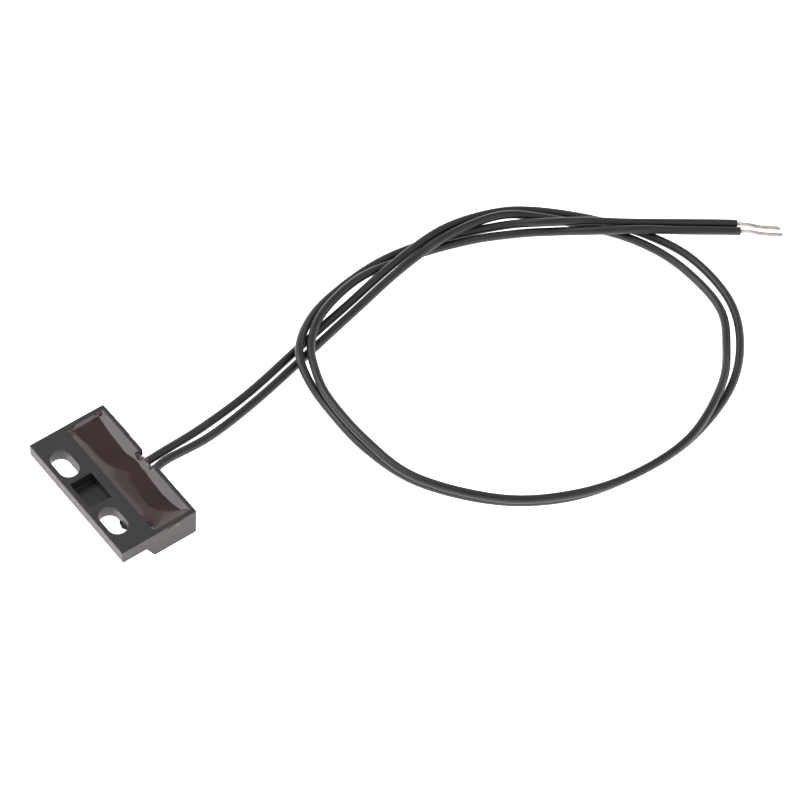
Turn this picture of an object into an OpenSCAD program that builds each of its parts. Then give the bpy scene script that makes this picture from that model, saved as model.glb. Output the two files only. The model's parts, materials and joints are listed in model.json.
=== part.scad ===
// Door contact sensor: a flange-mount potted reed switch with two flying leads.
// The housing lies with its open, resin-filled face up. The flange with the screw
// slots is at the front (-Y), and the leads leave at the back (+Y).
// Origin: centre of the housing's underside.

/* [Housing] */
// Length of the housing along X
body_l = 25; // [22:0.1:32]
// Depth of the housing, front edge of the flange to the back wall
body_w = 13.4; // [12.5:0.1:18]
// Height of the housing over the deep box
body_h = 4.9; // [4.7:0.1:7]
// Thickness of the flange
flange_t = 2.4; // [2.2:0.1:2.9]
// Front edge to the deep box, at the flange's underside
flange_reach = 4.3; // [3.8:0.1:4.9]
// How far the box's front wall leans back towards its foot
box_lean = 1.35; // [0.6:0.05:1.4]
// How far the back wall leans in towards its foot
back_draft = 0.25; // [0:0.05:0.35]

/* [Screw slots] */
// Distance between the two slots' centres
slot_pitch = 13.1; // [12.5:0.1:15.5]
// Slot length, end to end
slot_l = 5.6; // [4.4:0.1:6]
// Slot width, for an M3 screw
slot_w = 3.2; // [2.4:0.1:3.6]
// Front edge to the slots' centre line
slot_inset = 2.4; // [2.2:0.1:2.6]

/* [Blind pocket] */
// Pocket length along X
pocket_l = 5.5; // [3:0.1:5.8]
// Pocket width along Y
pocket_w = 3.9; // [2:0.1:4]
// Pocket depth
pocket_depth = 1.9; // [0.5:0.1:2]
// Front edge to the pocket's centre
pocket_inset = 2.8; // [2.6:0.1:3.2]

/* [Resin trough] */
// Thickness of the trough's two end walls
end_wall = 0.8; // [0.6:0.05:1.2]
// Thickness of the back wall
back_wall = 0.7; // [0.6:0.05:1]
// Front edge of the flange to the trough
trough_inset = 6.2; // [6.1:0.1:6.5]
// Thickness of the trough's floor
floor_t = 0.7; // [0.5:0.05:1]
// Resin level below the rim
resin_drop = 0.45; // [0.2:0.05:0.6]

/* [Reed switch] */
// Length of the glass capsule
glass_l = 13; // [11:0.1:14]
// Outer diameter of the glass capsule
glass_d = 2.2; // [1.9:0.05:2.3]
// Wall of the glass capsule
glass_wall = 0.25; // [0.2:0.05:0.3]
// Length of each glass seal
seal_l = 1.6; // [1.2:0.1:2]
// Diameter of the leads
lead_d = 0.5; // [0.4:0.05:0.6]
// Width of a blade
blade_w = 1; // [0.8:0.05:1.1]
// Thickness of a blade
blade_t = 0.2; // [0.15:0.01:0.22]
// Length over which the blades' tips overlap
blade_overlap = 0.8; // [0.5:0.1:1.2]
// Thickness of the contact plating
plating_t = 0.03; // [0.02:0.01:0.04]
// Open gap between the plated faces
contact_gap = 0.12; // [0.08:0.01:0.14]

/* [Leads] */
// Outer diameter of the insulation
wire_d = 1.35; // [1.1:0.05:1.35]
// Diameter of the stranded core
core_d = 0.6; // [0.4:0.05:0.65]
// Distance between the two leads in the notch
wire_pitch = 1.9; // [1.4:0.05:2.1]
// Clearance between a lead and the notch's walls
notch_clear = 0.15; // [0.05:0.05:0.3]

/* [Hidden] */

LEFT = -1;
RIGHT = 1;
$fn = 48;
over = 1;                                  // how far a cut runs past a face

front_y = -body_w / 2;
back_y = body_w / 2;
flange_z = body_h - flange_t;              // underside of the flange
slot_y = front_y + slot_inset;
pocket_y = front_y + pocket_inset;

trough_l = body_l - 2 * end_wall;
trough_y = front_y + trough_inset;         // front wall of the trough
rear_y = back_y - back_wall;               // inner face of the back wall
resin_z = body_h - resin_drop;

core_lift = 2;                             // trough floor to the reed's axis
core_z = floor_t + core_lift;
reed_margin = 0.8;                         // resin in front of the glass
reed_y = trough_y + reed_margin + glass_d / 2;
seal_x = glass_l / 2 - seal_l;             // inner end of a glass seal
root_l = 0.3;                              // lead that stands inside the capsule
root_x = seal_x - root_l;                  // where a blade bends
blade_clear = 0.05;                        // gap between a blade and its root
lead_end_x = glass_l / 2 + 3.7;            // trimmed end of a lead

lane_inset = 1.8;                          // back wall to a lead's run behind the reed
lane_y = rear_y - lane_inset;
elbow_r = 1.4;                             // bend of a lead inside the resin
strip_x = glass_l / 2 + 1.7;               // where the inner insulation ends
core_bend_r = 1;                           // bend of the bare strands
joint_x = lead_end_x - 0.5;                // where the strands meet the reed lead
solder_d = 1.5;                            // bead of solder round the joint
solder_film = 0.05;                        // solder between the strands and the lead

notch_w = wire_pitch + wire_d + 2 * notch_clear;
notch_z = core_z - wire_d / 2 - notch_clear / 2;
plug_recess = 0.15;                        // resin plug behind the back face

// Free leads: a tube swept along a hand-laid route on the surface below.
wire_sides = 8;
steps = 2;                                 // rings for each point of the route
wire_rest = 0.7;                           // lowest centre height on that surface
wire_points = 35;                          // points of each route that carry insulation

left_route = [
    [-wire_pitch / 2, back_y, core_z], [-1.5, 10, 2.1], [-2.6, 18, 0.9], [-4.1, 28, 0.7],
    [-7, 40, 0.7], [-9.2, 50, 0.8], [-10.8, 60, 2.1], [-12, 70, 2.1], [-10.9, 79, 0.9],
    [-7.3, 85, 0.7], [0, 91.7, 0.7], [7, 96.2, 0.7], [15, 98.9, 0.7], [25, 98.4, 0.7],
    [33, 94.1, 0.7], [39, 87, 0.7], [42.8, 76, 0.7], [42.9, 65, 0.7], [40.6, 55, 0.7],
    [34.8, 46, 0.7], [25, 38.5, 0.7], [15, 35.8, 0.7], [5, 35.7, 0.7], [-1.5, 36.4, 1.6],
    [-5.7, 38.3, 2.4], [-9.8, 43.3, 1.6], [-12.4, 50, 0.7], [-13.3, 60, 0.7], [-11.3, 70, 0.7],
    [-7.5, 79, 1.2], [-3.3, 84.3, 2.3], [0, 89.5, 2.1], [4, 94.5, 2.1], [8.1, 101, 1.4],
    [13.4, 109, 0.7], [16, 111.5, 0.7], [18.2, 114, 0.7]
];
right_route = [
    [wire_pitch / 2, back_y, core_z], [0.1, 10, 2.1], [-0.5, 18, 0.9], [-2.2, 28, 0.7],
    [-5.1, 40, 0.7], [-7.5, 50, 0.8], [-9.2, 60, 2.1], [-10.3, 70, 2.3], [-9, 79, 2.1],
    [-5, 84.7, 1.5], [0.2, 89.7, 0.7], [7, 94.1, 0.7], [15, 96.5, 0.7], [25, 96.3, 0.7],
    [32, 92.2, 0.7], [38.3, 86, 1.9], [43.3, 76, 2.2], [43.8, 65, 2.1], [41.2, 55, 2.1],
    [35.5, 46, 2.1], [25, 38.2, 2.1], [15, 36.2, 2.1], [5, 36.3, 2.1], [-1, 37.9, 2.2],
    [-5.5, 40.4, 2.2], [-9.2, 45.2, 2.3], [-11.6, 53.5, 2], [-11.6, 62, 0.7], [-8.9, 72, 0.7],
    [-5.7, 79, 0.7], [-2.1, 84.8, 0.8], [2.9, 90.2, 2.1], [6.5, 95.3, 2.3], [10, 101, 1.4],
    [14.9, 108.5, 0.7], [17.3, 110.9, 0.7], [19.5, 113.4, 0.7]
];

function unit(v) = v / norm(v);

// Point of the route, with one more at each end in line with the last two.
function guide(p, i) =
    i < 0 ? 2 * p[0] - p[1] :
    i >= len(p) ? 2 * p[len(p) - 1] - p[len(p) - 2] : p[i];

// Smooth curve through four points, t from 0 at b to 1 at c.
function blend(a, b, c, d, t) =
    0.5 * (2 * b + (c - a) * t + (2 * a - 5 * b + 4 * c - d) * t * t
        + (3 * b - a - 3 * c + d) * t * t * t);

function lifted(q) = [q[0], q[1], max(q[2], wire_rest)];

function centreline(p) = [
    for (i = [0 : len(p) - 2], k = [0 : steps - 1])
        lifted(blend(guide(p, i - 1), p[i], p[i + 1], guide(p, i + 2), k / steps)),
    p[len(p) - 1]
];

// Direction of the wire at ring i. It leaves the housing straight back.
function heading(c, i) =
    i == 0 ? [0, 1, 0] : unit(c[min(i + 1, len(c) - 1)] - c[i - 1]);

function ring(c, i, d) =
    let (h = heading(c, i), side = unit(cross(h, [0, 0, 1])), up = cross(side, h))
    [for (k = [0 : wire_sides - 1])
        let (a = 360 * (k + 0.5) / wire_sides)
        c[i] + d / 2 * (cos(a) * side + sin(a) * up)];

module tube(c, first, last, d) {
    n = wire_sides;
    rings = last - first;
    points = [for (i = [first : last]) each ring(c, i, d)];
    walls = [for (i = [0 : rings - 1], k = [0 : n - 1])
        let (a = i * n + k, b = i * n + (k + 1) % n)
        each [[a, b, b + n], [a, b + n, a + n]]];
    start = [for (k = [n - 1 : -1 : 0]) k];
    end = [for (k = [0 : n - 1]) rings * n + k];
    polyhedron(points = points, faces = concat([start, end], walls));
}

// Cylinder along X from x0 to x1, on the axis that everything inside shares.
module rod_x(x0, x1, y, d) {
    translate([x0, y, core_z]) rotate([0, 90, 0]) cylinder(h = x1 - x0, d = d);
}

// Cylinder along Y from y0 to y1.
module rod_y(x, y0, y1, d) {
    translate([x, y0, core_z]) rotate([-90, 0, 0]) cylinder(h = y1 - y0, d = d);
}

// Quarter bend in the plane of the leads, from angle a to a + 90.
module bend(x, y, r, d, a) {
    translate([x, y, core_z]) rotate([0, 0, a])
        rotate_extrude(angle = 90) translate([r, 0]) circle(d = d);
}

module on_side(side) {
    if (side == RIGHT) children();
    else mirror([1, 0, 0]) children();
}

module slot() {
    reach = slot_l / 2 - slot_w / 2;
    depth = flange_t + 2 * over;
    translate([0, slot_y, flange_z - over]) {
        for (x = [-reach, reach]) translate([x, 0, 0]) cylinder(h = depth, d = slot_w);
        translate([-reach, -slot_w / 2, 0]) cube([2 * reach, slot_w, depth]);
    }
}

module trough(top) {
    translate([-trough_l / 2, trough_y, floor_t])
        cube([trough_l, rear_y - trough_y, top - floor_t]);
}

// The moulding, seen along X: flange, leaning box front and drafted back wall.
module housing() {
    color([0.16, 0.16, 0.165])
    difference() {
        translate([-body_l / 2, 0, 0]) rotate([90, 0, 90]) linear_extrude(body_l)
            polygon([
                [front_y, flange_z], [front_y, body_h], [back_y, body_h],
                [back_y - back_draft, 0],
                [front_y + flange_reach + box_lean, 0],
                [front_y + flange_reach, flange_z]
            ]);
        for (x = [-1, 1] * slot_pitch / 2) translate([x, 0, 0]) slot();
        translate([-pocket_l / 2, pocket_y - pocket_w / 2, body_h - pocket_depth])
            cube([pocket_l, pocket_w, pocket_depth + over]);
        trough(body_h + over);
        translate([-notch_w / 2, rear_y - over, notch_z])
            cube([notch_w, back_wall + 2 * over, body_h]);
    }
}

module potting_resin() {
    color([0.26, 0.2, 0.19])
    difference() {
        union() {
            trough(resin_z);
            translate([-notch_w / 2, rear_y, notch_z])
                cube([notch_w, back_wall - plug_recess, resin_z - notch_z]);
        }
        capsule(glass_d);
        for (side = [LEFT, RIGHT]) on_side(side) {
            reed_lead();
            solder();
            strands();
            potted_wire();
        }
    }
}

module capsule(d) {
    straight = glass_l / 2 - d / 2;
    rod_x(-straight, straight, reed_y, d);
    for (x = [-straight, straight]) translate([x, reed_y, core_z]) sphere(d = d);
}

module reed_glass() {
    color([0.5, 0.65, 0.55, 0.5])
    difference() {
        capsule(glass_d);
        rod_x(-seal_x, seal_x, reed_y, glass_d - 2 * glass_wall);
        for (side = [LEFT, RIGHT]) on_side(side) reed_lead();
    }
}

// Round part of a reed, through the glass seal to the solder joint.
module reed_lead() {
    rod_x(root_x, lead_end_x, reed_y, lead_d);
}

// Flattened part of a reed. The right one is above the gap, the left one below.
module reed_blade(side) {
    length = root_x - blade_clear + blade_overlap / 2;
    face = contact_gap / 2 + plating_t;
    z = side == RIGHT ? core_z + face : core_z - face - blade_t;
    x = side == RIGHT ? -blade_overlap / 2 : blade_overlap / 2 - length;
    translate([x, reed_y - blade_w / 2, z]) cube([length, blade_w, blade_t]);
}

module contact_plating(side) {
    z = side == RIGHT ? core_z + contact_gap / 2 : core_z - contact_gap / 2 - plating_t;
    translate([-blade_overlap / 2, reed_y - blade_w / 2, z])
        cube([blade_overlap, blade_w, plating_t]);
}

// Outer shape of a solder joint: a bead on the lead, round the end of the strands.
module solder() {
    translate([joint_x, reed_y, core_z]) sphere(d = solder_d);
}

module solder_joint() {
    difference() {
        solder();
        reed_lead();
        strands();
    }
}

// Bare strands from the end of the insulation to the side of the reed lead.
module strands() {
    turn_x = joint_x - core_bend_r;
    turn_y = lane_y - core_bend_r;
    rod_x(strip_x, turn_x, lane_y, core_d);
    bend(turn_x, turn_y, core_bend_r, core_d, 0);
    rod_y(joint_x, reed_y + lead_d / 2 + solder_film, turn_y, core_d);
}

// Insulated lead inside the housing: in through the notch, then along the back wall.
module potted_wire() {
    x = wire_pitch / 2;
    rod_y(x, lane_y + elbow_r, back_y, wire_d);
    bend(x + elbow_r, lane_y + elbow_r, elbow_r, wire_d, 180);
    rod_x(x + elbow_r, strip_x, lane_y, wire_d);
}

module free_wire(route) {
    color([0.13, 0.13, 0.135]) tube(centreline(route), 0, (wire_points - 1) * steps, wire_d);
}

module tinned_end(route) {
    c = centreline(route);
    color([0.8, 0.78, 0.74]) tube(c, (wire_points - 1) * steps, len(c) - 1, core_d);
}

housing();
potting_resin();
reed_glass();
color("silver") on_side(LEFT) reed_lead();  // left_reed_lead
color("silver") on_side(RIGHT) reed_lead();  // right_reed_lead
color("silver") reed_blade(LEFT);  // left_reed_blade
color("silver") reed_blade(RIGHT);  // right_reed_blade
color("white") contact_plating(LEFT);  // left_contact_plating
color("white") contact_plating(RIGHT);  // right_contact_plating
color("gray") on_side(LEFT) solder_joint();  // left_solder_joint
color("gray") on_side(RIGHT) solder_joint();  // right_solder_joint
color("tan") on_side(LEFT) strands();  // left_inner_strands
color("tan") on_side(RIGHT) strands();  // right_inner_strands
color("dimgray") on_side(LEFT) potted_wire();  // left_potted_wire
color("dimgray") on_side(RIGHT) potted_wire();  // right_potted_wire
free_wire(left_route);  // left_wire
free_wire(right_route);  // right_wire
tinned_end(left_route);  // left_tinned_end
tinned_end(right_route);  // right_tinned_end
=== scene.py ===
import json
import math
import random

import bmesh
import bpy
from mathutils import Matrix, Vector, noise


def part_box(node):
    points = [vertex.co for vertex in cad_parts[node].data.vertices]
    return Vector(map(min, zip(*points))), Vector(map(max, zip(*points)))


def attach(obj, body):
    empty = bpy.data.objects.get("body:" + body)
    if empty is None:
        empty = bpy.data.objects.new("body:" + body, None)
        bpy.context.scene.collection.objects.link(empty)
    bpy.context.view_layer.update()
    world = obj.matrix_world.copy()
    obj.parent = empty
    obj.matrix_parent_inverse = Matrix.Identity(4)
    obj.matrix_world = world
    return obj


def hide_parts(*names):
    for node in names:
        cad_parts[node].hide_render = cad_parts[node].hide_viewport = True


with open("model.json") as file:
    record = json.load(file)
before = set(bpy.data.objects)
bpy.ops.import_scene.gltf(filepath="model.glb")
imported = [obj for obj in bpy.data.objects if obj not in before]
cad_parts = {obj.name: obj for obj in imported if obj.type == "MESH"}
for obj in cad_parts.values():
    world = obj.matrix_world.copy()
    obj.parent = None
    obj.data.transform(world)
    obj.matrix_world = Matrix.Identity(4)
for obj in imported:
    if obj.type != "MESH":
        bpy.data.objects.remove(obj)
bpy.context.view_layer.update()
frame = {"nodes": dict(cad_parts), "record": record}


# ---------------------------------------------------------------- housing
# The body is one injection moulding in black nylon: a thin flange with two screw
# slots and a blind pocket, and a deep box behind it whose trough holds the switch.
# Its edges are slightly soft and its rims uneven where the moulds meet.
MM = 0.001
moulding_low, moulding_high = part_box("housing")
half_length = moulding_high.x / MM
front_y = moulding_low.y / MM
back_y = moulding_high.y / MM
rim_z = moulding_high.z / MM
flange_thickness = 2.4
flange_reach = 4.3
box_lean = 1.35
back_draft = 0.25
flange_z = rim_z - flange_thickness

resin_low, resin_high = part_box("potting_resin")
trough_x = resin_high.x / MM
trough_front = resin_low.y / MM
trough_floor = resin_low.z / MM
resin_level = resin_high.z / MM
plug_y = resin_high.y / MM
back_wall = 0.7
trough_back = back_y - back_wall
notch_half = 1.775
notch_floor = 1.95

slots = next(m for m in frame["record"]["mounts"] if m["name"] == "screw_slots")
slot_y = slots["pos_m"][1] / MM
slot_radius = slots["dims"]["hole_r_mm"]
slot_reach = slots["dims"]["slot_length_mm"] / 2 - slot_radius
slot_offset = slots["dims"]["spacing_x_mm"] / 2
pocket_half = (2.75, 1.95)
pocket_y = -3.9
pocket_depth = 1.9


def soft_corners(outline, radii, steps=5):
    """The outline's points, with each corner eased by its radius."""
    eased = []
    for i, corner in enumerate(outline):
        here = Vector(corner)
        back = Vector(outline[i - 1]) - here
        ahead = Vector(outline[(i + 1) % len(outline)]) - here
        start = here + back.normalized() * radii[i]
        end = here + ahead.normalized() * radii[i]
        for k in range(steps + 1):
            t = k / steps
            eased.append(start * (1 - t) ** 2 + here * 2 * t * (1 - t) + end * t * t)
    return eased


def rectangle(x, y, half_x, half_y):
    return [(x - half_x, y - half_y), (x + half_x, y - half_y),
            (x + half_x, y + half_y), (x - half_x, y + half_y)]


def put_in_scene(name, bm):
    bmesh.ops.recalc_face_normals(bm, faces=bm.faces)
    mesh = bpy.data.meshes.new(name)
    bm.to_mesh(mesh)
    bm.free()
    obj = bpy.data.objects.new(name, mesh)
    bpy.context.scene.collection.objects.link(obj)
    return obj


def prism(name, outline, start, end):
    """A bar with that outline, from the points at(start) to at(end)."""
    bm = bmesh.new()
    bottom = [bm.verts.new(start(p)) for p in outline]
    top = [bm.verts.new(end(p)) for p in outline]
    bm.faces.new(bottom)
    bm.faces.new(top)
    for i in range(len(outline)):
        j = (i + 1) % len(outline)
        bm.faces.new([bottom[i], bottom[j], top[j], top[i]])
    return put_in_scene(name, bm)


def upright(name, outline, z0, z1):
    return prism(name, outline, lambda p: (p[0], p[1], z0), lambda p: (p[0], p[1], z1))


def slot_outline(x):
    ends = []
    for side, first in ((1, -90), (-1, 90)):
        for k in range(25):
            a = math.radians(first + 180 * k / 24)
            ends.append((x + side * slot_reach + slot_radius * math.cos(a),
                         slot_y + slot_radius * math.sin(a)))
    return ends


def settle(obj):
    """Applies the object's modifiers to its mesh."""
    graph = bpy.context.evaluated_depsgraph_get()
    shaped = bpy.data.meshes.new_from_object(obj.evaluated_get(graph))
    obj.modifiers.clear()
    obj.data = shaped


profile = soft_corners(
    [(front_y, flange_z), (front_y, rim_z), (back_y, rim_z), (back_y - back_draft, 0),
     (front_y + flange_reach + box_lean, 0), (front_y + flange_reach, flange_z)],
    [0.28, 0.1, 0.1, 0.2, 0.32, 0.25])
moulding = prism("housing_moulding", profile,
                 lambda p: (-half_length, p[0], p[1]), lambda p: (half_length, p[0], p[1]))
above = rim_z + 1
corner = 0.22
trough_middle = (trough_front + trough_back) / 2
cutters = [
    upright("slot_left", slot_outline(-slot_offset), flange_z - 1, above),
    upright("slot_right", slot_outline(slot_offset), flange_z - 1, above),
    upright("pocket", soft_corners(rectangle(0, pocket_y, *pocket_half), [corner] * 4),
            rim_z - pocket_depth, above),
    upright("trough", soft_corners(rectangle(0, trough_middle, trough_x,
                                             trough_back - trough_middle), [corner] * 4),
            trough_floor, above),
    upright("notch", rectangle(0, back_y, notch_half, back_wall + 0.5), notch_floor, above),
]
for cutter in cutters:
    cut = moulding.modifiers.new("cut", "BOOLEAN")
    cut.operation = "DIFFERENCE"
    cut.solver = "EXACT"
    cut.object = cutter
settle(moulding)
for cutter in cutters:
    bpy.data.objects.remove(cutter)

ease = moulding.modifiers.new("ease", "BEVEL")
ease.width = 0.07
ease.segments = 3
ease.limit_method = "ANGLE"
ease.angle_limit = math.radians(40)
ease.use_clamp_overlap = False
settle(moulding)

# The moulded edges are a little uneven, more so along the open rim.
bm = bmesh.new()
bm.from_mesh(moulding.data)
slice_step = 0.55
slices = int(2 * half_length / slice_step)
for k in range(1, slices):
    bmesh.ops.bisect_plane(bm, geom=bm.verts[:] + bm.edges[:] + bm.faces[:], dist=1e-5,
                           plane_co=(-half_length + k * slice_step, 0, 0), plane_no=(1, 0, 0))
for vert in bm.verts:
    on_edge = any(e.is_manifold and e.calc_face_angle(0) > 0.2 for e in vert.link_edges)
    if on_edge:
        on_rim = vert.co.z > rim_z - 0.3 and vert.co.y > trough_back - 0.2
        unevenness = 0.045 if on_rim else 0.014
        vert.co += noise.noise_vector(vert.co * 1.4) * unevenness
bmesh.ops.scale(bm, vec=(MM, MM, MM), verts=bm.verts)
for face in bm.faces:
    face.smooth = True
bm.to_mesh(moulding.data)
bm.free()
flat = moulding.modifiers.new("flat_faces", "WEIGHTED_NORMAL")
flat.keep_sharp = True


def finish_of(name, roughness, metallic=0.0, ior=1.5, **sockets):
    """A new surface: its material, its node tree and its shader."""
    material = bpy.data.materials.new(name)
    material.use_nodes = True
    tree = material.node_tree
    shader = tree.nodes["Principled BSDF"]
    shader.inputs["Roughness"].default_value = roughness
    shader.inputs["Metallic"].default_value = metallic
    shader.inputs["IOR"].default_value = ior
    for socket, value in sockets.items():
        shader.inputs[socket.replace("_", " ")].default_value = value
    return material, tree, shader


def mottle(tree, coordinates, size, detail=4.0, stretch=(1, 1, 1)):
    """Soft noise whose blotches are about that many millimetres across."""
    mapping = tree.nodes.new("ShaderNodeMapping")
    mapping.inputs["Scale"].default_value = stretch
    tree.links.new(coordinates, mapping.inputs["Vector"])
    blotches = tree.nodes.new("ShaderNodeTexNoise")
    blotches.inputs["Scale"].default_value = 1 / (size * MM)
    blotches.inputs["Detail"].default_value = detail
    tree.links.new(mapping.outputs["Vector"], blotches.inputs["Vector"])
    return blotches.outputs["Fac"]


def shades(tree, factor, *stops):
    """Colours along a ramp, each as (place, (r, g, b))."""
    ramp = tree.nodes.new("ShaderNodeValToRGB")
    while len(ramp.color_ramp.elements) < len(stops):
        ramp.color_ramp.elements.new(0.5)
    for element, (place, colour) in zip(ramp.color_ramp.elements, stops):
        element.position = place
        element.color = (*colour, 1)
    tree.links.new(factor, ramp.inputs["Fac"])
    return ramp.outputs["Color"]


def spread(tree, factor, low, high):
    """The factor's middle range, carried over to low to high."""
    scale = tree.nodes.new("ShaderNodeMapRange")
    scale.inputs["From Min"].default_value = 0.3
    scale.inputs["From Max"].default_value = 0.7
    scale.inputs["To Min"].default_value = low
    scale.inputs["To Max"].default_value = high
    tree.links.new(factor, scale.inputs["Value"])
    return scale.outputs["Result"]


def relief(tree, shader, *layers):
    """Bumps one on another, each as (height, depth in millimetres)."""
    normal = None
    for height, depth in layers:
        bump = tree.nodes.new("ShaderNodeBump")
        bump.inputs["Distance"].default_value = depth * MM
        tree.links.new(height, bump.inputs["Height"])
        if normal:
            tree.links.new(normal, bump.inputs["Normal"])
        normal = bump.outputs["Normal"]
    tree.links.new(normal, shader.inputs["Normal"])


def own_place(tree):
    return tree.nodes.new("ShaderNodeTexCoord").outputs["Object"]


nylon, tree, shader = finish_of("black_nylon", roughness=0.4, ior=1.5)
place = own_place(tree)
cloud = mottle(tree, place, 6, 3)
grain = mottle(tree, place, 0.09, 2)
skin = mottle(tree, place, 0.7, 5)
tree.links.new(shades(tree, cloud, (0.3, (0.0115, 0.0125, 0.0115)),
                      (0.55, (0.0145, 0.0140, 0.0135)), (0.75, (0.0200, 0.0165, 0.0150))),
               shader.inputs["Base Color"])
tree.links.new(spread(tree, skin, 0.33, 0.46), shader.inputs["Roughness"])
relief(tree, shader, (skin, 0.012), (grain, 0.006))
moulding.data.materials.clear()
moulding.data.materials.append(nylon)
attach(moulding, "sensor")
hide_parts("housing")

flash_root = slot_y + slot_radius + 0.04
flash_shape = [(-0.85, 0), (-0.45, -0.34), (0.05, -0.42), (0.5, -0.56), (1.0, -0.3), (1.35, 0)]
flash = upright("slot_flash", [(slot_offset + x, flash_root + y) for x, y in flash_shape],
                flange_z + 0.02, flange_z + 0.16)
flash.data.transform(Matrix.Scale(MM, 4))
flash.data.materials.append(nylon)
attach(flash, "sensor")


# ---------------------------------------------------------------- reed switch
# A glass capsule, sealed by melting its ends onto two nickel-iron reeds. Inside it
# the reeds are rolled flat and plated where they meet; outside they are round leads.
glass, tree, shader = finish_of("reed_glass", roughness=0.03, ior=1.5,
                                Transmission_Weight=1.0)
place = own_place(tree)
swirl = mottle(tree, place, 1.5, 3, (0.4, 1, 1))
tree.links.new(shades(tree, swirl, (0.3, (0.62, 0.86, 0.7)), (0.7, (0.75, 0.93, 0.8))),
               shader.inputs["Base Color"])
tree.links.new(spread(tree, swirl, 0.02, 0.06), shader.inputs["Roughness"])
relief(tree, shader, (swirl, 0.02))


def drawn_metal(name, dark, light, roughness, size):
    """Metal with fine lines along X, as drawing or rolling leaves them."""
    material, tree, shader = finish_of(name, roughness, metallic=1.0)
    place = own_place(tree)
    lines = mottle(tree, place, size, 4, (0.06, 1, 1))
    tarnish = mottle(tree, place, size * 8, 3)
    tree.links.new(shades(tree, tarnish, (0.3, dark), (0.7, light)),
                   shader.inputs["Base Color"])
    tree.links.new(spread(tree, lines, roughness * 0.8, roughness * 1.3),
                   shader.inputs["Roughness"])
    relief(tree, shader, (lines, 0.003), (tarnish, 0.004))
    return material


def dress(node, material):
    """Gives a piece that keeps its CAD shape its finish."""
    obj = frame["nodes"][node]
    obj.data.materials.clear()
    obj.data.materials.append(material)


reed_metal = drawn_metal("nickel_iron", (0.42, 0.40, 0.37), (0.56, 0.54, 0.51), 0.3, 0.05)
plating = drawn_metal("contact_plating", (0.72, 0.72, 0.75), (0.85, 0.85, 0.87), 0.14, 0.03)
dress("reed_glass", glass)
for side in ("left", "right"):
    dress(side + "_reed_lead", reed_metal)
    dress(side + "_reed_blade", reed_metal)
    dress(side + "_contact_plating", plating)


# ---------------------------------------------------------------- solder joints
# Each lead's stripped strands are bent round to the reed's lead and soldered to it
# in one small bead. The strands are tinned copper.
solder, tree, shader = finish_of("solder", roughness=0.35, metallic=1.0)
place = own_place(tree)
frost = mottle(tree, place, 0.12, 5)
pools = mottle(tree, place, 0.8, 2)
tree.links.new(shades(tree, pools, (0.3, (0.46, 0.47, 0.48)), (0.7, (0.63, 0.64, 0.65))),
               shader.inputs["Base Color"])
tree.links.new(spread(tree, frost, 0.25, 0.5), shader.inputs["Roughness"])
relief(tree, shader, (pools, 0.03), (frost, 0.008))
strand_metal = drawn_metal("bare_strands", (0.55, 0.50, 0.44), (0.72, 0.68, 0.62), 0.3, 0.06)
for side in ("left", "right"):
    dress(side + "_solder_joint", solder)
    dress(side + "_inner_strands", strand_metal)


# ---------------------------------------------------------------- potted leads
# Inside the box the insulated leads come in through the notch and turn outwards
# behind the reed. They are the same extruded black insulation as outside.
def insulation(name, coordinates):
    """Black flexible plastic with the fine drag lines of extrusion along it."""
    material, tree, shader = finish_of(name, roughness=0.4, ior=1.5,
                                       Specular_IOR_Level=0.45)
    place = coordinates(tree)
    drag = mottle(tree, place, 0.22, 4, (0.05, 1, 1))
    scuffs = mottle(tree, place, 2.5, 6, (0.35, 1, 1))
    pits = mottle(tree, place, 0.12, 2)
    tree.links.new(shades(tree, scuffs, (0.3, (0.0085, 0.0085, 0.009)),
                          (0.6, (0.011, 0.011, 0.0112)), (0.78, (0.019, 0.0185, 0.018))),
                   shader.inputs["Base Color"])
    tree.links.new(spread(tree, scuffs, 0.3, 0.46), shader.inputs["Roughness"])
    relief(tree, shader, (drag, 0.012), (pits, 0.004))
    return material


potted_insulation = insulation("potted_insulation", own_place)
for side in ("left", "right"):
    dress(side + "_potted_wire", potted_insulation)


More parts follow.
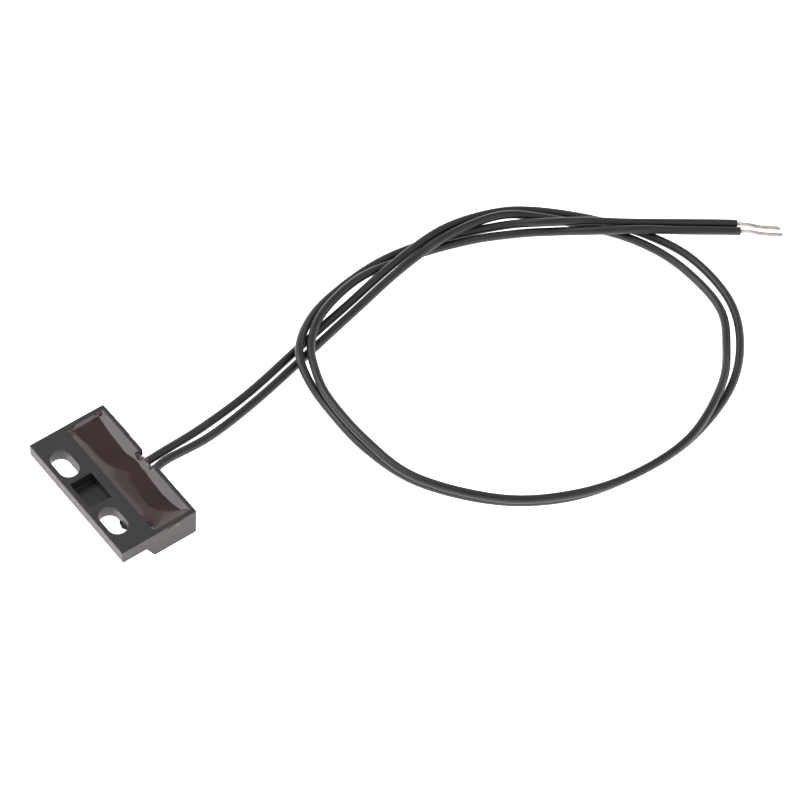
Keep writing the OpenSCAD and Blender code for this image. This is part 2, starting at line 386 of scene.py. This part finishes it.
# ---------------------------------------------------------------- free leads
# Two single-core leads, 300 mm long and 1.35 mm thick, lie on the table in a loose
# overhand loop. Where they cross, one pair lies on the other. Each is cut square
# and stripped at its far end. The points are the route of each lead in millimetres.
wire_radius = 0.675
wire_rest = 0.7
insulated_points = 35
lead_exit = {"left": (-0.95, back_y, 2.7), "right": (0.95, back_y, 2.7)}
lead_route = {
    "left": [
        lead_exit["left"],
        (-1.5, 10, 2.1), (-2.6, 18, 0.9), (-4.1, 28, 0.7), (-7, 40, 0.7), (-9.2, 50, 0.8),
        (-10.8, 60, 2.1), (-12, 70, 2.1), (-10.9, 79, 0.9), (-7.3, 85, 0.7), (0, 91.7, 0.7),
        (7, 96.2, 0.7), (15, 98.9, 0.7), (25, 98.4, 0.7), (33, 94.1, 0.7), (39, 87, 0.7),
        (42.8, 76, 0.7), (42.9, 65, 0.7), (40.6, 55, 0.7), (34.8, 46, 0.7), (25, 38.5, 0.7),
        (15, 35.8, 0.7), (5, 35.7, 0.7), (-1.5, 36.4, 1.6), (-5.7, 38.3, 2.4), (-9.8, 43.3, 1.6),
        (-12.4, 50, 0.7), (-13.3, 60, 0.7), (-11.3, 70, 0.7), (-7.5, 79, 1.2), (-3.3, 84.3, 2.3),
        (0, 89.5, 2.1), (4, 94.5, 2.1), (8.1, 101, 1.4), (13.4, 109, 0.7), (16, 111.5, 0.7),
        (18.2, 114, 0.7),
    ],
    "right": [
        lead_exit["right"],
        (0.1, 10, 2.1), (-0.5, 18, 0.9), (-2.2, 28, 0.7), (-5.1, 40, 0.7), (-7.5, 50, 0.8),
        (-9.2, 60, 2.1), (-10.3, 70, 2.3), (-9, 79, 2.1), (-5, 84.7, 1.5), (0.2, 89.7, 0.7),
        (7, 94.1, 0.7), (15, 96.5, 0.7), (25, 96.3, 0.7), (32, 92.2, 0.7), (38.3, 86, 1.9),
        (43.3, 76, 2.2), (43.8, 65, 2.1), (41.2, 55, 2.1), (35.5, 46, 2.1), (25, 38.2, 2.1),
        (15, 36.2, 2.1), (5, 36.3, 2.1), (-1, 37.9, 2.2), (-5.5, 40.4, 2.2), (-9.2, 45.2, 2.3),
        (-11.6, 53.5, 2), (-11.6, 62, 0.7), (-8.9, 72, 0.7), (-5.7, 79, 0.7), (-2.1, 84.8, 0.8),
        (2.9, 90.2, 2.1), (6.5, 95.3, 2.3), (10, 101, 1.4), (14.9, 108.5, 0.7), (17.3, 110.9, 0.7),
        (19.5, 113.4, 0.7),
    ],
}


def smooth_line(route, steps):
    """Points on the smooth curve through the route, none below the resting height."""
    points = [Vector(p) for p in route]
    points = [2 * points[0] - points[1], *points, 2 * points[-1] - points[-2]]
    line = []
    for a, b, c, d in zip(points, points[1:], points[2:], points[3:]):
        for k in range(steps):
            t = k / steps
            q = 0.5 * (2 * b + (c - a) * t + (2 * a - 5 * b + 4 * c - d) * t ** 2
                       + (3 * b - a - 3 * c + d) * t ** 3)
            line.append(Vector((q.x, q.y, max(q.z, wire_rest))))
    line.append(points[-2])
    return line


def headings(line):
    """Direction of the line at each of its points, with the sideways direction."""
    found = []
    for i in range(len(line)):
        ahead = (line[min(i + 1, len(line) - 1)] - line[max(i - 1, 0)]).normalized()
        side = ahead.cross(Vector((0, 0, 1))).normalized()
        found.append((ahead, side, side.cross(ahead)))
    return found


def tubes(name, strands, sides):
    """One mesh of closed tubes. A strand is a list of (middle, side, up, radius).
    Each point also keeps its place on the straightened strand, for the surface."""
    vertices, faces, straight = [], [], []
    for strand in strands:
        first = len(vertices)
        along = 0.0
        for i, (middle, side, up, radius) in enumerate(strand):
            if i:
                along += (middle - strand[i - 1][0]).length
            for k in range(sides):
                a = 2 * math.pi * k / sides
                out = radius * math.cos(a) * side + radius * math.sin(a) * up
                vertices.append((middle + out) * MM)
                straight.append((along * MM, radius * math.cos(a) * MM,
                                 radius * math.sin(a) * MM))
        for i in range(len(strand) - 1):
            for k in range(sides):
                a = first + i * sides + k
                b = first + i * sides + (k + 1) % sides
                faces.append((a, b, b + sides, a + sides))
        last = first + (len(strand) - 1) * sides
        faces.append(tuple(first + k for k in reversed(range(sides))))
        faces.append(tuple(last + k for k in range(sides)))
    mesh = bpy.data.meshes.new(name)
    mesh.from_pydata(vertices, [], faces)
    mesh.shade_smooth()
    kept = mesh.attributes.new("straightened", "FLOAT_VECTOR", "POINT")
    for item, value in zip(kept.data, straight):
        item.vector = value
    obj = bpy.data.objects.new(name, mesh)
    bpy.context.scene.collection.objects.link(obj)
    sharpen(mesh)
    return obj


def sharpen(mesh, angle=50):
    """Marks the edges that turn more than the angle as sharp."""
    bm = bmesh.new()
    bm.from_mesh(mesh)
    for edge in bm.edges:
        if edge.is_manifold and edge.calc_face_angle(0) > math.radians(angle):
            edge.smooth = False
    bm.to_mesh(mesh)
    bm.free()


def along_lead(tree):
    place = tree.nodes.new("ShaderNodeAttribute")
    place.attribute_name = "straightened"
    return place.outputs["Vector"]


lead_insulation = insulation("lead_insulation", along_lead)
lead_steps = 7
bore_radius = 0.32
for side, route in lead_route.items():
    line = smooth_line(route, lead_steps)[:(insulated_points - 1) * lead_steps + 1]
    strand = []
    for i, (middle, (ahead, across, up)) in enumerate(zip(line, headings(line))):
        wobble = 0.008 * noise.noise(middle * 0.35)
        strand.append((middle, across, up, wire_radius + wobble))
    middle, across, up, radius = strand[-1]
    ahead = headings(line)[-1][0]
    cut = [(0.0, radius - 0.04), (0.0, bore_radius), (-0.5, bore_radius - 0.01)]
    strand[-1] = (middle - ahead * 0.04, across, up, radius)
    strand += [(middle + ahead * reach, across, up, width) for reach, width in cut]
    lead = tubes(side + "_lead", [strand], 20)
    lead.data.materials.append(lead_insulation)
    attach(lead, "sensor")
    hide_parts(side + "_wire")


# ---------------------------------------------------------------- tinned ends
# Each lead's core is seven copper strands, twisted together. The stripped stretch
# is dipped in solder, which leaves it bright and a little lumpy.
strand_radius = 0.112
strand_ring = 0.215
lay_length = 4.2
tin, tree, shader = finish_of("tinned_strands", roughness=0.4, metallic=1.0)
place = along_lead(tree)
lumps = mottle(tree, place, 0.35, 3, (0.5, 1, 1))
grey = mottle(tree, place, 0.9, 4, (0.4, 1, 1))
tree.links.new(shades(tree, grey, (0.3, (0.36, 0.33, 0.32)), (0.55, (0.56, 0.52, 0.51)),
                      (0.75, (0.78, 0.74, 0.73))), shader.inputs["Base Color"])
tree.links.new(spread(tree, lumps, 0.3, 0.5), shader.inputs["Roughness"])
relief(tree, shader, (lumps, 0.02))
for number, (side, route) in enumerate(lead_route.items()):
    rng = random.Random(11 + number)
    steps = 14
    line = smooth_line(route, steps)[(insulated_points - 1) * steps - 4:]
    frames = headings(line)
    strands = []
    for k in range(7):
        trim = rng.randint(0, 2)
        flare = rng.uniform(0.0, 0.09)
        turn = 2 * math.pi * k / 6
        strand = []
        along = 0.0
        for i in range(len(line) - trim):
            if i:
                along += (line[i] - line[i - 1]).length
            ahead, across, up = frames[i]
            near_tip = max(0.0, (i / len(line) - 0.7) / 0.3)
            out = 0.0 if k == 6 else strand_ring + flare * near_tip ** 2
            a = turn + 2 * math.pi * along / lay_length
            middle = line[i] + out * (math.cos(a) * across + math.sin(a) * up)
            swell = 1 + 0.1 * noise.noise(middle * 2.5)
            strand.append((middle, across, up, strand_radius * swell))
        strands.append(strand)
    end = tubes(side + "_tinned_strands", strands, 10)
    end.data.materials.append(tin)
    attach(end, "sensor")
    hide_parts(side + "_tinned_end")


# ---------------------------------------------------------------- potting resin
# Dark brown casting resin, poured in last. It climbs every wall of the trough, has
# set in two shallow pools with a ridge between them that runs forward from the
# notch, and beds the leads where they leave. It has run over the rim in places.
columns = 200
rows = 58
step_x = 2 * trough_x / columns
step_y = (trough_back - trough_front) / rows
wall_rise = {"back": 0.43, "front": 0.42, "left": 0.4, "right": 0.42}
notch_rise = 0.2
pools = [
    [(-11.3, 5.2), (-8, 4.8), (-5, 4.6), (-2.6, 4.5), (-1.6, 4.9), (0.2, 4.9), (0.9, 4.3),
     (0.9, 3.6), (0.5, 2.9), (-1.7, 1.4), (-3.1, 0.8), (-5, 0.6), (-7, 0.6), (-9, 0.3),
     (-11.3, 0), (-11.1, 2.2), (-11, 3.6)],
    [(2.1, 4.9), (1.9, 3.9), (2.2, 2.8), (3, 2.2), (4.4, 1.8), (6, 1.5), (7.5, 1.6),
     (8.6, 2.1), (9.5, 3), (10.2, 3.9), (11.1, 5.4), (8.8, 4.8), (6.5, 4.6), (4.5, 4.7)],
]


def inside(outline, x, y):
    """Whether the point lies inside the closed outline."""
    crossed = False
    for (ax, ay), (bx, by) in zip(outline, outline[1:] + outline[:1]):
        if (ay > y) != (by > y) and x < ax + (y - ay) * (bx - ax) / (by - ay):
            crossed = not crossed
    return crossed


def hung_sheet(passes=520, sag=0.4):
    """Heights over the flat level, on the grid. The resin wets every wall and is flat
    in the pools. Between them it settles like a sheet that hangs from the walls."""
    heights, held = {}, set()
    for i in range(columns + 1):
        for j in range(rows + 1):
            x, y = -trough_x + i * step_x, trough_front + j * step_y
            height = 0.0
            if j == rows:
                height = notch_rise if abs(x) < notch_half else wall_rise["back"]
            elif j == 0:
                height = wall_rise["front"] - 0.09 * max(0.0, x - 8)
            elif i in (0, columns):
                height = wall_rise["left" if i == 0 else "right"]
            if i in (0, columns) or j in (0, rows) or any(inside(p, x, y) for p in pools):
                held.add((i, j))
            heights[i, j] = height
    free = [key for key in heights if key not in held]
    across = 1 / step_x ** 2
    along = 1 / step_y ** 2
    for _ in range(passes):
        for i, j in free:
            pull = across * (heights[i - 1, j] + heights[i + 1, j]) \
                + along * (heights[i, j - 1] + heights[i, j + 1])
            heights[i, j] = pull / (2 * across + 2 * along + sag)
    for _ in range(7):
        soft = {}
        for i in range(1, columns):
            for j in range(1, rows):
                soft[i, j] = (2 * heights[i, j] + heights[i - 1, j] + heights[i + 1, j]
                              + heights[i, j - 1] + heights[i, j + 1]) / 6
        heights.update(soft)
    return heights


sheet = hung_sheet()


def resin_top(x, y):
    """Height of the set resin over the flat level, with its one small dimple."""
    i = min(max(round((x + trough_x) / step_x), 0), columns)
    j = min(max(round((y - trough_front) / step_y), 0), rows)
    dimple = 0.16 * math.exp(-((x + 1.05) / 0.4) ** 2 - ((y - 5.65) / 0.25) ** 2)
    return sheet[i, j] - dimple + 0.006 * noise.noise(Vector((x * 0.8, y * 0.8, 3)))


def bedding(x, y):
    """Height of the resin in the notch, where it slumps down onto the leads."""
    out = (y - trough_back) / (plug_y - trough_back)
    over_leads = max(math.exp(-((x - s) / 0.6) ** 2) for s in (-0.95, 0.95))
    fall = 1.15 - 0.35 * over_leads
    lumps = 0.16 * noise.noise(Vector((x * 2.3, y * 2.3, 8)))
    return resin_level + resin_top(x, trough_back) * (1 - out) - fall * out ** 1.3 + lumps


notch_rows = 6
notch_step = (plug_y - trough_back) / notch_rows
bm = bmesh.new()
grid = {}
for i in range(columns + 1):
    for j in range(rows + notch_rows + 1):
        x = -trough_x + i * step_x
        in_notch = j > rows
        y = trough_back + (j - rows) * notch_step if in_notch else trough_front + j * step_y
        if in_notch and abs(x) > notch_half + 0.02:
            continue
        if in_notch or (j == rows and abs(x) < notch_half):
            top = bedding(x, y)
        else:
            top = min(resin_level + resin_top(x, y), rim_z - 0.02)
        floor = notch_floor if j >= rows else trough_floor
        grid[i, j] = (bm.verts.new((x, y, top)), bm.verts.new((x, y, floor)))
walls = {}
for i, j in grid:
    square = [(i, j), (i + 1, j), (i + 1, j + 1), (i, j + 1)]
    if all(key in grid for key in square):
        bm.faces.new([grid[key][0] for key in square])
        bm.faces.new([grid[key][1] for key in reversed(square)])
        for a, b in zip(square, square[1:] + square[:1]):
            walls[a, b] = (b, a) not in walls and walls.get((a, b), True)
for (a, b), kept in walls.items():
    if (b, a) not in walls:
        bm.faces.new([grid[a][0], grid[a][1], grid[b][1], grid[b][0]])
bmesh.ops.scale(bm, vec=(MM, MM, MM), verts=bm.verts)
for face in bm.faces:
    face.smooth = True
resin = put_in_scene("resin_fill", bm)
sharpen(resin.data, 60)

casting, tree, shader = finish_of("casting_resin", roughness=0.06, ior=1.52,
                                  Specular_IOR_Level=0.5)
place = own_place(tree)
depth_tone = mottle(tree, place, 5, 2)
haze = mottle(tree, place, 1.2, 5)
ripple = mottle(tree, place, 1.8, 1)
tree.links.new(shades(tree, depth_tone, (0.3, (0.031, 0.0195, 0.0180)),
                      (0.7, (0.042, 0.0260, 0.0240))), shader.inputs["Base Color"])
tree.links.new(spread(tree, haze, 0.04, 0.1), shader.inputs["Roughness"])
relief(tree, shader, (ripple, 0.006))
resin.data.materials.append(casting)
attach(resin, "sensor")
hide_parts("potting_resin")


def dab(name, centre, size, seed, lumpiness=0.18):
    """A drop of set resin on the moulding, as long, wide and high as size says."""
    bm = bmesh.new()
    bmesh.ops.create_icosphere(bm, subdivisions=4, radius=1)
    for vert in bm.verts:
        lump = 1 + lumpiness * noise.noise(vert.co * 1.7 + Vector((seed, 0, 0)))
        lump += 0.3 * lumpiness * noise.noise(vert.co * 4.5 + Vector((0, seed, 0)))
        vert.co = Vector(centre) + Vector([c * s / 2 * lump for c, s in zip(vert.co, size)])
    bmesh.ops.scale(bm, vec=(MM, MM, MM), verts=bm.verts)
    for face in bm.faces:
        face.smooth = True
    drop = put_in_scene(name, bm)
    drop.data.materials.append(casting)
    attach(drop, "sensor")


dab("resin_run_right", (half_length + 0.01, 2.6, rim_z - 0.34), (0.44, 2.1, 0.8), 3, 0.4)
dab("resin_run_right_small", (half_length - 0.01, 4.25, rim_z - 0.12), (0.22, 0.9, 0.3), 5, 0.3)
dab("resin_smear_back", (-6.9, back_y - 0.03, rim_z - 0.1), (4.2, 0.2, 0.28), 8, 0.4)
dab("resin_smear_back_small", (-9.6, back_y - 0.05, rim_z - 0.06), (1.1, 0.22, 0.2), 12, 0.4)
specks = random.Random(4)
for k in range(6):
    x = specks.uniform(-0.9, 1.9)
    y = specks.uniform(5.75, 6.5)
    width = specks.uniform(0.16, 0.42)
    dab(f"resin_speck_{k}", (x, y, resin_level + specks.uniform(-0.2, 0.02)),
        (width * 1.5, width, width * 0.8), 20 + k, 0.5)


# ---------------------------------------------------------------- studio
# A pale light table that shines evenly from below, a bright low surround, a long soft
# box that leans in from the left and a smaller one overhead. The camera looks down at 52
# degrees from the front right, through a long lens.
table_size = 6.0
bm = bmesh.new()
bmesh.ops.create_grid(bm, x_segments=4, y_segments=4, size=table_size / 2)
table = put_in_scene("light_table", bm)
frosted, tree, shader = finish_of("frosted_table", roughness=0.6)
shader.inputs["Base Color"].default_value = (0.9, 0.9, 0.9, 1)
shader.inputs["Emission Color"].default_value = (1, 0.95, 0.92, 1)
shader.inputs["Emission Strength"].default_value = 1.45
table.data.materials.append(frosted)

surround = bpy.data.worlds.new("surround")
surround.use_nodes = True
tree = surround.node_tree
towards = tree.nodes.new("ShaderNodeTexCoord").outputs["Generated"]
height = tree.nodes.new("ShaderNodeSeparateXYZ")
tree.links.new(towards, height.inputs["Vector"])
glow = shades(tree, height.outputs["Z"], (0.0, (1.3, 1.25, 1.24)), (0.6, (1.3, 1.25, 1.26)),
              (0.66, (0.74, 0.70, 0.71)), (0.752, (0.66, 0.62, 0.63)),
              (0.774, (0.21, 0.205, 0.21)), (0.93, (0.21, 0.205, 0.21)),
              (0.97, (1.0, 1.0, 1.05)))
tree.links.new(glow, tree.nodes["Background"].inputs["Color"])
bpy.context.scene.world = surround
bpy.context.scene.view_settings.view_transform = "Standard"


def soft_box(name, direction, distance, width, height, radiance, lean, colour):
    """An area lamp that faces the sensor from that direction, its height along lean."""
    lamp = bpy.data.lights.new(name, "AREA")
    lamp.shape = "RECTANGLE"
    lamp.size = width
    lamp.size_y = height
    lamp.energy = radiance * math.pi * width * height
    lamp.color = colour
    obj = bpy.data.objects.new(name, lamp)
    bpy.context.scene.collection.objects.link(obj)
    away = Vector(direction).normalized()
    across = Vector(lean).cross(away).normalized()
    obj.location = away * distance
    obj.rotation_mode = "QUATERNION"
    obj.rotation_quaternion = Matrix((across, away.cross(across), away)).transposed() \
        .to_quaternion()


soft_box("left_strip_box", (-0.54, -0.40, 0.74), 0.9, 0.38, 1.1, 3.7,
         lean=(0, 0.87, 0.49), colour=(0.98, 0.95, 1.0))
soft_box("overhead_box", (0.45, 0.25, 0.85), 1.0, 0.4, 0.3, 2.5,
         lean=(0, 0, 1), colour=(1, 1, 1))

lens = bpy.data.cameras.new("long_lens")
lens.lens = 225
lens.sensor_width = 36
camera = bpy.data.objects.new("camera", lens)
bpy.context.scene.collection.objects.link(camera)
azimuth = math.radians(54.0)
elevation = math.radians(52.07)
target = Vector((0.01024, 0.04584, 0))
back = Vector((math.sin(azimuth) * math.cos(elevation),
               -math.cos(azimuth) * math.cos(elevation), math.sin(elevation)))
camera.location = target + back * 0.765
camera.rotation_mode = "QUATERNION"
camera.rotation_quaternion = (-back).to_track_quat("-Z", "Y")
lens.clip_start = 0.05
lens.clip_end = 20
bpy.context.scene.camera = camera
